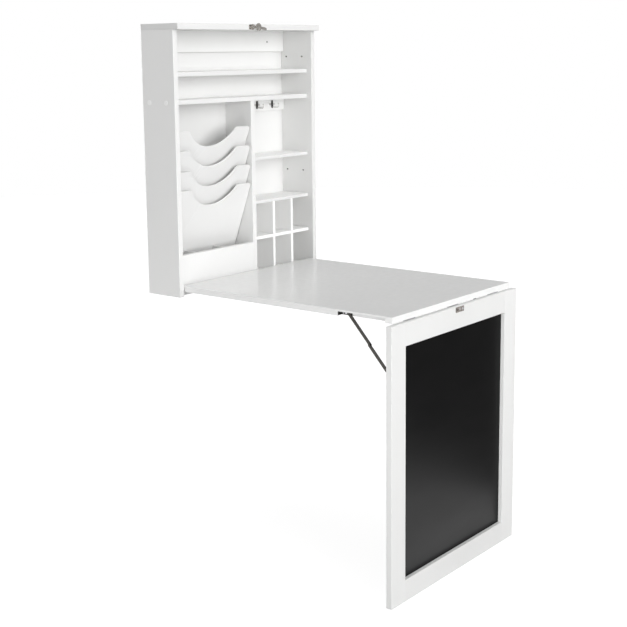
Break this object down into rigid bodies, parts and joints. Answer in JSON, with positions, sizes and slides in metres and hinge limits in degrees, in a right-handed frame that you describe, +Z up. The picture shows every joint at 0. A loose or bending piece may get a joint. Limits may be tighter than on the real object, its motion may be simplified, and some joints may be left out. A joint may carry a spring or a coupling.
{
  "type": "wall-mounted fold-down desk cabinet",
  "caption": "White wall cabinet whose desktop folds down and stands on a hinged chalkboard leg panel, with shelves, cubbies, a magazine rack and hooks inside.",
  "frame": {"origin": "on the floor, at the middle of the open desk's footprint, from the wall to the leg's strike", "axes": "+Y points into the wall, X runs along the wall with +X on the right of a person who faces the cabinet, +Z is up"},
  "size_m": [0.602, 0.825, 1.443],
  "materials": {
    "white_board": "satin white lacquer over fibreboard",
    "white_desktop": "semi-gloss white lacquer over fibreboard",
    "white_back": "white-faced thin hardboard",
    "white_sheet": "white-painted thin fibreboard",
    "chalk_black": "matt black chalkboard paint on fibreboard",
    "white_plastic": "moulded matt white",
    "grey_plastic": "moulded nylon",
    "beech": "raw beech",
    "dark_steel": "dark grey plated steel, satin",
    "nickel": "nickel plated, polished",
    "zinc_steel": "bright zinc plated"
  },
  "bodies": {
    "cabinet": {"side_left": "white_board", "side_right": "white_board", "top_board": "white_board", "bottom_board": "white_board", "back_panel": "white_back", "hanging_rail": "white_board", "shelf_upper": "white_board", "shelf_lower": "white_board", "divider": "white_board", "shelf_right_upper": "white_board", "shelf_right_lower": "white_board", "shelf_cubby": "white_board", "cubby_divider_left": "white_board", "cubby_divider_right": "white_board", "rack_rail": "white_board", "rack_sheet_1": "white_sheet", "rack_sheet_2": "white_sheet", "rack_sheet_3": "white_sheet", "rack_sheet_4": "white_sheet", "rack_rib_left": "white_sheet", "rack_rib_right": "white_sheet", "rack_gussets": "white_sheet", "hook_rail": "white_board", "key_hook_left": "nickel", "key_hook_right": "nickel", "hook_screws": "zinc_steel", "screw_caps": "white_plastic", "shelf_screws": "zinc_steel", "carcase_dowels": "beech", "back_panel_nails": "zinc_steel", "desk_pivot_pins": "zinc_steel", "latch_base": "nickel", "latch_screws": "zinc_steel"},
    "latch_hook": {"latch_hook": "nickel"},
    "desktop": {"desktop": "white_desktop", "pivot_bushes": "grey_plastic", "hinge_leaves_desk": "zinc_steel", "hinge_pins": "zinc_steel", "hinge_screws_desk": "zinc_steel", "stay_bracket_desk_left": "dark_steel", "stay_bracket_desk_right": "dark_steel", "stay_screws_desk": "zinc_steel"},
    "leg": {"leg_stile_left": "white_board", "leg_stile_right": "white_board", "leg_rail_top": "white_board", "leg_rail_bottom": "white_board", "chalkboard": "chalk_black", "chalkboard_brads": "zinc_steel", "leg_dowels": "beech", "hinge_leaves_leg": "zinc_steel", "hinge_screws_leg": "zinc_steel", "stay_bracket_leg_left": "dark_steel", "stay_bracket_leg_right": "dark_steel", "stay_screws_leg": "zinc_steel", "strike_plate": "nickel", "strike_screws": "zinc_steel"},
    "stay_upper_left": {"stay_upper_left": "dark_steel"},
    "stay_upper_right": {"stay_upper_right": "dark_steel"},
    "stay_lower_left": {"stay_lower_left": "dark_steel"},
    "stay_lower_right": {"stay_lower_right": "dark_steel"}
  },
  "joints": [
    {"name": "desk_fold", "type": "hinge", "parent": "cabinet", "child": "desktop", "pos_m": [0, 0.3005, 0.726], "axis": [-1, 0, 0], "range_deg": [0, 90]},
    {"name": "leg_fold", "type": "hinge", "parent": "desktop", "child": "leg", "pos_m": [0, -0.389, 0.7165], "axis": [1, 0, 0], "range_deg": [0, 90]},
    {"name": "latch_swing", "type": "hinge", "parent": "cabinet", "child": "latch_hook", "pos_m": [-0.006, 0.27, 1.432], "axis": [0, 1, 0], "range_deg": [0, 90]},
    {"name": "stay_upper_left_pivot", "type": "hinge", "parent": "desktop", "child": "stay_upper_left", "pos_m": [-0.265, -0.2555, 0.723], "axis": [-1, 0, 0], "range_deg": [0, 48.09]},
    {"name": "stay_lower_left_pivot", "type": "hinge", "parent": "leg", "child": "stay_lower_left", "pos_m": [-0.268, -0.3825, 0.583], "axis": [1, 0, 0], "range_deg": [0, 41.91]},
    {"name": "stay_upper_right_pivot", "type": "hinge", "parent": "desktop", "child": "stay_upper_right", "pos_m": [0.265, -0.2555, 0.723], "axis": [-1, 0, 0], "range_deg": [0, 48.09]},
    {"name": "stay_lower_right_pivot", "type": "hinge", "parent": "leg", "child": "stay_lower_right", "pos_m": [0.268, -0.3825, 0.583], "axis": [1, 0, 0], "range_deg": [0, 41.91]}
  ],
  "couplings": [
    {"joint": "leg_fold", "follows": "desk_fold", "ratio": 1},
    {"joint": "stay_upper_left_pivot", "follows": "desk_fold", "ratio": 0.53433},
    {"joint": "stay_lower_left_pivot", "follows": "desk_fold", "ratio": 0.46565},
    {"joint": "stay_upper_right_pivot", "follows": "desk_fold", "ratio": 0.53433},
    {"joint": "stay_lower_right_pivot", "follows": "desk_fold", "ratio": 0.46565}
  ]
}
